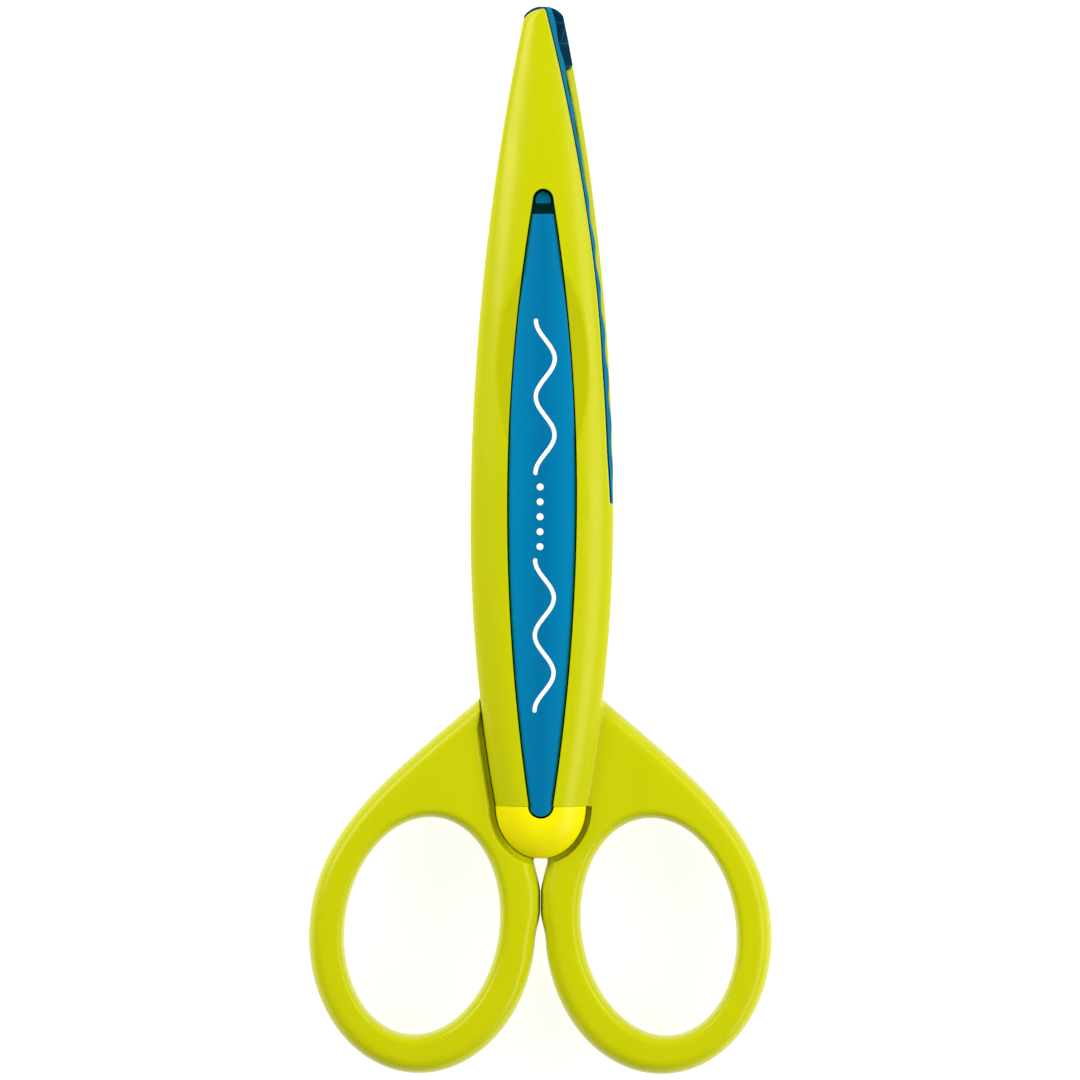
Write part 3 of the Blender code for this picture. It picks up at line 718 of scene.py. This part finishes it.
def lever_footprint(grow, start_y=BELLY_Y):
    """Outline of the body and the button behind it. Ahead of start_y it only grows by the fit gap."""
    left = []
    for y in steps(FOOTPRINT_FRONT_Y, BODY_END_Y, 60):
        share = min(1.0, max(0.0, (start_y - y) / GROOVE_FADE))
        left.append((-body_half(y) - max(FIT_GAP, grow * share), y))
    tail = ellipse(0, BODY_END_Y, BUTTON_HALF + grow, BUTTON_LENGTH + grow, 0, 186, 354, 48)
    return left + tail + [(-x, y) for x, y in reversed(left)]


def groove_room():
    """The groove between the arm and the other lever, with a soft outer edge and a start that fades in."""
    rings = []
    for z, grow in GROOVE_PROFILE:
        rings.append([(x, y, z) for x, y in lever_footprint(grow, GROOVE_START_Y)])
    return loft(rings)


def button_outline(grow=0.0):
    """Half an ellipse behind the body's end."""
    return ellipse(0, BODY_END_Y, BUTTON_HALF + grow, BUTTON_LENGTH + grow, 0, 180, 360, 60)


def blade_pocket():
    """The space that holds the blade, open to the right along the cutting edge."""
    rings = []
    sealed = steps(BLADE_TAIL_Y, SLIT_END_Y - 0.01, 30)
    for y in [*sealed, *steps(SLIT_END_Y, TIP_Y + 2.0, 80)]:
        left = spine_wall(y) - body_half(y)
        right = body_half(y) - WALL if y < SLIT_END_Y else ASIDE
        top = blade_top_z(y) + BLADE_HEAD_GAP
        rings.append([(left, y, -4.0), (right, y, -4.0), (right, y, top), (left, y, top)])
    return loft(rings)


def bare_tip_room():
    """Takes away the left wall beside the bare tip. The wall ends on a slant."""
    wall = spine_wall(BARE_TIP_Y)
    slant = BARE_TIP_SLANT / wall
    wall_x = wall - body_half(BARE_TIP_Y)
    rings = []
    for y in steps(BARE_TIP_Y - BARE_TIP_SLANT, TIP_Y + 8.0, 30):
        top = blade_top_z(y) + BLADE_HEAD_GAP
        left, right = (wall_x - 6.0, y + 6.0 * slant), (4.0, y - (4.0 - wall_x) * slant)
        rings.append([(*left, BELOW), (*right, BELOW), (*right, top), (*left, top)])
    return loft(rings)


def other_edge_room():
    """Clears the left wall from the wave of the other blade's edge."""
    rings = []
    for y in steps(SLIT_END_Y - 0.4, TIP_Y + 3.0, 40):
        inner = spine_wall(y) - body_half(y)
        outer_z = WAVE_ROOM + (inner + ASIDE) * (WALL_FALL / WALL)
        corners = (-ASIDE, outer_z), (inner, WAVE_ROOM), (0.0, WAVE_ROOM)
        rings.append([(-ASIDE, y, BELOW), (0.0, y, BELOW), *[(x, y, z) for x, z in reversed(corners)]])
    return loft(rings)


def edge_cut():
    ys = steps(STEP_Y - 0.2, TIP_Y + 2.0, 90)
    edge = [(edge_x(y) - strip_width(y), y) for y in ys]
    return prism([(20.0, ys[0]), (20.0, ys[-1]), *reversed(edge)], BELOW, ABOVE + 3.0)


def thumb_scoop():
    """A shallow dish on either side of the slot, with a crease for a rim."""
    rings = []
    for share in SCOOP_RINGS:
        rise = 1.0 if share > 1 else SCOOP_DEPTH * (share**2 - 1)
        rim = closed_ellipse(0, SCOOP_Y, SCOOP_HALF_WIDTH * share, SCOOP_HALF_LENGTH * share, 0, 120)
        rings.append([(x, y, dome_z(x, y) + rise) for x, y in rim])
    return loft(rings)


def fillet_weight(x, y, z):
    """How much the seam between the body's flank and its own arm is rounded."""
    if not (BODY_END_Y - 0.5 < y < ARM_TOP[1] + 1.5 and x > 0 and z > SEAM_Z):
        return 0.0
    away = math.hypot(x - body_half(y), (z - RING_HALF_Z) * 0.8)
    ends = min(1.0, max(0.0, (y - BODY_END_Y) / SEAM_END_FADE))
    return max(0.0, 1 - away / SEAM_REACH) * ends


def round_the_seam(target):
    group = target.vertex_groups.new(name="seam")
    for vert in target.data.vertices:
        weight = fillet_weight(*vert.co)
        if weight > 0:
            group.add([vert.index], weight, "REPLACE")
    smooth = target.modifiers.new("step", "SMOOTH")
    smooth.factor, smooth.iterations = SEAM_SMOOTHING
    smooth.vertex_group = "seam"
    return evaluated(target)


def lime_lever():
    """The lime moulding: softened all over, then the slot and the cap's seat are cut with crisp edges."""
    other_lever = prism(lever_footprint(FIT_GAP), BELOW, LEVER_GAP)
    arm = combine(ring_and_arm(), "DIFFERENCE", other_lever, groove_room())
    front_x, front_y = FLOOR_FRONT
    floor = prism([*button_outline(), (front_x, front_y), (-front_x, front_y)], LEVER_GAP, FLOOR_TOP)
    solid = combine(body_block(), "UNION", arm, floor)
    combine(
        solid,
        "DIFFERENCE",
        blade_pocket(),
        bare_tip_room(),
        other_edge_room(),
        edge_cut(),
        thumb_scoop(),
    )
    voxel, rounds, kept = LEVER_MESH
    soften(solid, voxel, rounds)
    round_the_seam(solid)
    thin(solid, kept)
    return combine(
        solid,
        "DIFFERENCE",
        prism(button_outline(FIT_GAP), FLOOR_TOP, ABOVE),
        prism(button_outline(GROOVE), GROOVE_FLOOR, ABOVE + 0.5),
        prism(slot_outline(), FLOOR_TOP + 0.05, ABOVE + 3.0),
    )


# ---- blades, panels and print ----


def blade_edge(y):
    if y < STEP_Y:
        return body_half(y) - WALL - BLADE_SIDE_GAP
    return min(edge_x(y), outline_half(y))


def blade_spine(y):
    inside = body_half(y) - spine_wall(y) - BLADE_SIDE_GAP
    past_wall = (y - BARE_TIP_Y - BLADE_SIDE_GAP) / BARE_TIP_SLANT + 1.0
    return inside + (outline_half(y) - inside) * min(1.0, max(0.0, past_wall))


def blade_row(under, over, spread):
    """One cross-section of a blade, from (position, height) pairs of its underside and its top.

    A position is a distance or an angle, and spread turns it into x and y.
    """
    return [(*spread(at), z) for at, z in [*under, *over]]


def strip_profile(cover, edge, height, unit):
    """The bare strip: a fine ditch along the cover, then a fall to the edge.

    The unit is a millimetre, as a distance or as an angle.
    """
    ditch = min(DITCH, DITCH_SHARE * (edge - cover) / unit) * unit
    floor = height - DITCH_DEPTH
    return [
        (edge, height - EDGE_DROP),
        (cover + ditch + DITCH_LIP * unit, height - DITCH_LIP_DROP),
        (cover + ditch, floor),
        (cover - COVER_LAPS[0] * unit, floor),
        (cover - COVER_LAPS[1] * unit, height),
    ]


def wavy_rows(mesh_side):
    rows = []
    for r in [*steps(ARC_ROWS_START, ARC_ROWS_END, ARC_ROWS), *NOSE_ARCS]:
        edge, edge_y = meet_arc(r, blade_edge)
        spine, spine_y = meet_arc(r, blade_spine)
        lift = mesh_side * wave_z(r)
        stepped_out = edge_y > STEP_Y - 0.01
        width = min(strip_width(edge_y) if stepped_out else PLAIN_BEVEL, 0.8 * (edge + spine))
        ripple = EDGE_RIPPLE * lift if stepped_out else 0.0
        first, last = math.atan2(-spine, spine_y), math.atan2(edge - ripple, edge_y)
        cover = math.atan2(edge - width, edge_y)
        low, height = LEVER_GAP + lift, blade_top_z(edge_y)
        fade = min(1.0, max(0.0, (r - FACET_START_R) / FACET_FADE))
        facet = min(max(math.asin(facet_x(r) / r), first + 0.001), last - 0.004)
        under = [(at, low + FACET_RISE * fade * r * (facet - at)) for at in steps(first, facet, 4)]
        under += [(at, low) for at in steps(facet + 0.0015, last, 14)]
        over = strip_profile(cover, last, height, 1 / r)
        over += [(at, height) for at in steps(cover, first, 8)[1:]]
        rows.append(blade_row(under, over, lambda a: (r * math.sin(a), r * math.cos(a))))
    return rows


def toe_lug_outline():
    """Outline of the lug that stands in the slot's round fore end."""
    round_end = ellipse(0, SLOT_FORE_END_Y - SLOT_END_RADIUS, LUG_HALF, LUG_ROUND, 0, 0, 180, 24)
    return [*round_end, (-LUG_HALF, LUG_Y), (LUG_HALF, LUG_Y)]


def blue_blade(mesh_side):
    rows = []
    for y in steps(BLADE_TAIL_Y, FLAT_PART_END_Y, 24):
        half = blade_edge(y)
        under = [(at, LEVER_GAP) for at in [*steps(-half, -0.6 * half, 4), *steps(-0.59 * half, half, 14)]]
        over = strip_profile(half - PLAIN_BEVEL, half, BLADE_TOP, 1.0)
        over += [(at, BLADE_TOP) for at in steps(half - PLAIN_BEVEL, -half, 8)[1:]]
        rows.append(blade_row(under, over, lambda x: (x, y)))
    solid = loft(rows + wavy_rows(mesh_side))
    combine(solid, "UNION", prism(toe_lug_outline(), *LUG_Z), box(*CATCH))
    return combine(
        solid,
        "DIFFERENCE",
        prism(closed_ellipse(0, 0, PIVOT_HOLE, PIVOT_HOLE, 0, 60), -1.0, 6.0),
        prism(closed_ellipse(0, 0, WASHER_POCKET, WASHER_POCKET, 0, 60), -1.0, WASHER_POCKET_TOP),
        box(*LATCH_WAY),
        box(*LATCH_WINDOW),
    )


def meshing_painted_shade(face):
    """Painted shade: 1 on the faces that mesh with the other blade, less along their ridges, as a painted
    highlight, and on the bare nose.
    """
    x, y, z = face.center
    past_cover = y > TIP_Y - NOSE_REACH and abs(x) > outline_half(y, COVER_NOSE_INSET) - 0.05
    if past_cover and x < edge_x(y) - strip_width(y):
        return NOSE_PAINTED_SHADE
    r = math.hypot(x, y)
    if face.normal.z > MESHING_NORMAL_Z or z > MESHING_TOP or y < 0 or r < WAVE_START_R:
        return 0.0
    along = (r - WAVE_START_R) / WAVE_LENGTH
    # the ridge lines and the spine bevel get less painted shade, as painted highlight lines
    on_ridge = abs((2 * along) % 1 - 0.5) * WAVE_LENGTH / 2 < RIDGE_HALF
    on_bevel = y > FACET_Y - 2 and abs(x - facet_x(y)) < 0.1
    return RIDGE_PAINTED_HIGHLIGHT if on_ridge or on_bevel else 1.0


def panel_half(y):
    """Half width of the panel, with its round rear end."""
    aft_y = SLOT_AFT_END_Y + SLOT_END_RADIUS
    if y > aft_y:
        return slot_half(y) - PANEL_GAP
    into_end = (aft_y - y) / (SLOT_END_RADIUS - PANEL_GAP)
    return (slot_half(aft_y) - PANEL_GAP) * math.sqrt(max(0.0, 1 - into_end**2))


def blue_panel():
    """The inlay: crowned across, with softly rounded upper edges and a square front end."""
    aft = SLOT_AFT_END_Y + PANEL_GAP
    aft_y = SLOT_AFT_END_Y + SLOT_END_RADIUS
    round_end = [aft_y - (aft_y - aft) * math.cos(a) for a in steps(0.08, math.pi / 2, 14)]
    front = []
    for back in PANEL_FRONT_ROWS:
        sink = PANEL_ROUND - math.sqrt(max(0.0, PANEL_ROUND**2 - (PANEL_ROUND - back) ** 2))
        front.append((PANEL_FORE_END_Y - back, sink))
    rows = []
    plain = [(y, 0.0) for y in [*round_end, *steps(aft_y + 0.4, PANEL_FORE_END_Y - 0.5, 110)]]
    for y, sink in plain + front:
        half = panel_half(y)
        round_off = min(PANEL_ROUND, half * 0.8)
        right = [(half, y, PANEL_BASE_Z), (half, y, panel_top_z(half, y) - round_off)]
        for angle in steps(0.0, math.pi / 2, 5)[1:]:
            x = half - round_off * (1 - math.cos(angle))
            right.append((x, y, panel_top_z(x, y) - round_off * (1 - math.sin(angle)) - sink))
        for x in steps(half - round_off, 0.0, 8)[1:-1]:
            right.append((x, y, panel_top_z(x, y) - sink))
        left = [(-x, y, z) for x, y, z in reversed(right)]
        rows.append([*right, (0.0, y, panel_top_z(0, y) - sink), *left])
    return loft(rows)


def printed_wave(bm, first, last):
    """A white wavy line with round ends, lying on the panel."""
    count = 160
    centre = []
    for share in steps(0, 1, count):
        swing = -PRINT_SWING * math.cos(2 * math.pi * PRINT_TURNS * share)
        centre.append(Vector((PRINT_X + swing, first + (last - first) * share)))
    rows = []
    for i, at in enumerate(centre):
        ahead = (centre[min(count, i + 1)] - centre[max(0, i - 1)]).normalized()
        rows.append((at, ahead, PRINT_HALF_WIDTH))
    for end, sign in ((0, -1), (-1, 1)):
        at, ahead, _ = rows[end]
        cap = []
        for angle in steps(0, math.pi / 2, 8)[1:]:
            half = max(0.004, PRINT_HALF_WIDTH * math.cos(angle))
            cap.append((at + ahead * sign * PRINT_HALF_WIDTH * math.sin(angle), ahead, half))
        rows = list(reversed(cap)) + rows if sign < 0 else rows + cap
    loops = []
    for at, ahead, half in rows:
        across = Vector((ahead.y, -ahead.x))
        loop = []
        for share, rise in PRINT_PROFILE:
            x, y = at + across * half * share
            loop.append(bm.verts.new((x, y, panel_top_z(x, y) + PRINT_RISE * rise)))
        loops.append(loop)
    bridge(bm, loops)
    bm.faces.new(reversed(loops[0]))
    bm.faces.new(loops[-1])


def printed_dot(bm, x, y):
    loops = []
    for share, rise in DOT_PROFILE:
        around = closed_ellipse(x, y, DOT_RADIUS * share, DOT_RADIUS * share, 0, 24)
        loops.append([bm.verts.new((u, v, panel_top_z(u, v) + PRINT_RISE * rise)) for u, v in around])
    bridge(bm, loops)
    bm.faces.new(reversed(loops[0]))
    bm.faces.new(loops[-1])


def panel_print():
    """Two wavy lines, and a plain row of dots between them."""
    bm = bmesh.new()
    for first, last in PRINTED_WAVES:
        printed_wave(bm, first, last)
    for place in range(-2, 3):
        printed_dot(bm, DOT_X, DOT_Y + place * DOT_STEP)
    return temporary(bm)


# ---- release button, spring and rivet ----


def cap_outline(share, front_y):
    """Outline of the cap, carried a little past its front, which is trimmed later."""
    half, length = BUTTON_HALF * share, BUTTON_LENGTH * share
    past_front = front_y + 0.5
    return [*ellipse(0, front_y, half, length, 0, 180, 360, 60), (half, past_front), (-half, past_front)]


def yellow_button():
    """Domed cap that carries on the body's dome, notched for the panel's round end."""
    front_y = BODY_END_Y - BUTTON_GAP
    crest_share = (slot_half(BODY_END_Y) + CREST_BAND) / BUTTON_HALF
    rings = [[(x, y, BUTTON_SKIRT_Z) for x, y in cap_outline(1.0, front_y)]]
    for turn in steps(0.0, 1.0, 16):
        share = max(CAP_LAST_SHARE, math.cos(turn * math.pi / 2) ** TURN_POWER)
        rise = flank((share - crest_share) / (1 - crest_share))
        z = SHOULDER + (HALF_THICKNESS - BUTTON_TOP_DROP - SHOULDER) * rise
        rings.append([(x, y, z) for x, y in cap_outline(share, front_y)])
    solid = loft(rings)
    half, length = BUTTON_HALF - BUTTON_WALL, BUTTON_LENGTH - 2 * BUTTON_WALL
    inner = ellipse(0, front_y - BUTTON_WALL, half, length, 0, 180, 360, 60)
    combine(solid, "DIFFERENCE", prism(inner, *HOLLOW_Z), prism(slot_outline(-NOTCH_GAP), NOTCH_Z, ABOVE))
    voxel, rounds, kept = CAP_MESH
    soften(solid, voxel, rounds)
    thin(solid, kept)
    combine(solid, "DIFFERENCE", box((-9.0, front_y, 1.0), (9.0, front_y + 3.0, ABOVE)))
    return combine(
        solid,
        "UNION",
        box((-TONGUE_HALF, front_y - 1.0, TONGUE_Z[0]), (TONGUE_HALF, HOOK_Y[1], TONGUE_Z[1])),
        box((-TONGUE_HALF, HOOK_Y[0], HOOK_Z[0]), (TONGUE_HALF, HOOK_Y[1], HOOK_Z[1])),
    )


def coil_spring():
    """Steel coil with closed, flattened end turns."""
    low, high = SPRING_Z
    count = SPRING_TURNS * 40
    rings = []
    for share in steps(0, 1, count):
        turn = 2 * math.pi * SPRING_TURNS * share
        rise = min(1.0, max(0.0, (share - SPRING_END) / (1 - 2 * SPRING_END)))
        z = low + (high - low) * (0.1 * share + 0.9 * rise)
        ring = []
        for side in range(12):
            angle = 2 * math.pi * side / 12
            r = SPRING_RADIUS + SPRING_WIRE * math.cos(angle)
            level = z + SPRING_WIRE * math.sin(angle)
            ring.append((r * math.cos(turn), SPRING_Y + r * math.sin(turn), level))
        rings.append(ring)
    return loft(rings)


def turned(profile):
    """A closed (radius, height) profile, turned about the rivet's axis."""
    rings = []
    for i in range(SIDES_AROUND):
        angle = 2 * math.pi * i / SIDES_AROUND
        rings.append([(r * math.cos(angle), r * math.sin(angle), z) for r, z in profile])
    return loft(rings, closed=True)


def washer(inner, outer, low, high, chamfer):
    return turned([
        (inner, low + chamfer), (inner + chamfer, low), (outer - chamfer, low), (outer, low + chamfer),
        (outer, high - chamfer), (outer - chamfer, high), (inner + chamfer, high), (inner, high - chamfer),
    ])


def rivet():
    """Shank with a domed head at each end."""
    dome = steps(0.12, math.pi / 2, 10)
    head = [(HEAD * math.sin(a), HEAD_EDGE_Z + HEAD_RISE * math.cos(a)) for a in dome]
    half = [*head, (HEAD, SHANK_HALF + 0.1), (HEAD - 0.1, SHANK_HALF), (SHANK, SHANK_HALF)]
    levels = half + [(r, -z) for r, z in reversed(half)]
    around = steps(0, 2 * math.pi * (SIDES_AROUND - 1) / SIDES_AROUND, SIDES_AROUND - 1)
    return loft([[(r * math.cos(a), r * math.sin(a), z) for a in around] for r, z in levels])


# ---- assembly ----


def build_object():
    lever, panel, printing = lime_lever(), blue_panel(), panel_print()
    button, spring = yellow_button(), coil_spring()
    head_washer, centre_washer = washer(*HEAD_WASHER, 0.08), washer(*CENTRE_WASHER, 0.15)
    pin = rivet()
    for side, mesh_side in zip(SIDES, (1, -1)):
        body = f"{side}_lever"
        placed(f"{side}_lever_moulding", lever, side, body, LIME, [f"{side}_handle"], 50)
        blade = blue_blade(mesh_side)
        blades = [f"{side}_blade"]
        placed(f"{side}_wave_blade", blade, side, body, BLUE, blades, 28, meshing_painted_shade)
        placed(f"{side}_inlay", panel, side, body, BLUE_PANEL, [f"{side}_panel"], 40)
        placed(f"{side}_inlay_print", printing, side, body, INK)
        caps = [f"{side}_release_button"]
        placed(f"{side}_cap", button, side, f"{side}_button", YELLOW, caps, 50)
        coil = placed(f"{side}_coil", spring, side, body, STEEL, [f"{side}_button_spring"])
        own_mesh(coil)
        placed(f"{side}_head_washer", head_washer, side, body, STEEL, [f"{side}_pivot_washer"], 30)
        discard(blade)
    placed("rivet", pin, "front", "back_lever", STEEL, ["pivot_rivet"], 40)
    placed("washer_between", centre_washer, "front", "back_lever", NYLON, ["centre_washer"], 30)
    discard(lever, panel, printing, button, spring, head_washer, centre_washer, pin)


# ---- stage ----

VIEW_WIDTH, VIEW_SHIFT_X, VIEW_ROLL = 0.16697, -0.00029, 0.22  # metres and degrees
CAMERA_DISTANCE = 2.0
KEY_RIGHT = ((0.55, 0.0, 0.42), (1.1, 0.34), 5.0)  # place, size and watts
FILL_LEFT = ((-0.5, 0.35, 0.4), (0.5, 0.34), 4.0)
SKY_LOW, SKY_HIGH, FLOOR_GLOW = 0.32, 0.26, 0.85


def soft_light(name, place, size, power):
    light = bpy.data.lights.new(name, "AREA")
    light.shape = "RECTANGLE"
    light.size, light.size_y = size
    light.energy = power
    made = bpy.data.objects.new(name, light)
    made.location = place
    made.rotation_euler = (-Vector(place)).to_track_quat("-Z", "Y").to_euler()
    bpy.context.scene.collection.objects.link(made)


def pale_floor():
    bm = bmesh.new()
    bmesh.ops.create_grid(bm, x_segments=1, y_segments=1, size=3.0)
    mesh = bpy.data.meshes.new("floor")
    bm.to_mesh(mesh)
    bm.free()
    floor = bpy.data.objects.new("floor", mesh)
    bpy.context.scene.collection.objects.link(floor)
    finish = Finish("floor", (0.3, 0.3, 0.3), 0.7)
    finish.set("Specular IOR Level", 0.0)
    finish.set("Emission Color", (1.0, 1.0, 1.0, 1.0))
    finish.set("Emission Strength", FLOOR_GLOW)
    mesh.materials.append(finish.material)


def stage():
    scene = bpy.context.scene
    scene.view_settings.view_transform = "Standard"
    world = bpy.data.worlds.new("studio")
    world.use_nodes = True
    nodes, links = world.node_tree.nodes, world.node_tree.links
    height = nodes.new("ShaderNodeSeparateXYZ")
    links.new(nodes.new("ShaderNodeTexCoord").outputs["Generated"], height.inputs[0])
    fall = nodes.new("ShaderNodeMapRange")
    for socket, value in (("From Min", 0.1), ("From Max", 0.7), ("To Min", SKY_LOW), ("To Max", SKY_HIGH)):
        fall.inputs[socket].default_value = value
    links.new(height.outputs["Z"], fall.inputs["Value"])
    links.new(fall.outputs["Result"], nodes["Background"].inputs["Strength"])
    nodes["Background"].inputs["Color"].default_value = (1.0, 1.0, 1.0, 1.0)
    scene.world = world
    pale_floor()
    soft_light("key_right", *KEY_RIGHT)
    soft_light("fill_left", *FILL_LEFT)
    lens = bpy.data.cameras.new("camera")
    lens.sensor_width = 36.0
    lens.lens = lens.sensor_width * CAMERA_DISTANCE / VIEW_WIDTH
    lens.clip_end = 20.0
    camera = bpy.data.objects.new("camera", lens)
    camera.location = (VIEW_SHIFT_X, 0.0, HALF_THICKNESS * MM + CAMERA_DISTANCE)
    camera.rotation_euler = (0.0, 0.0, math.radians(VIEW_ROLL))
    scene.collection.objects.link(camera)
    scene.camera = camera


stage()
build_object()
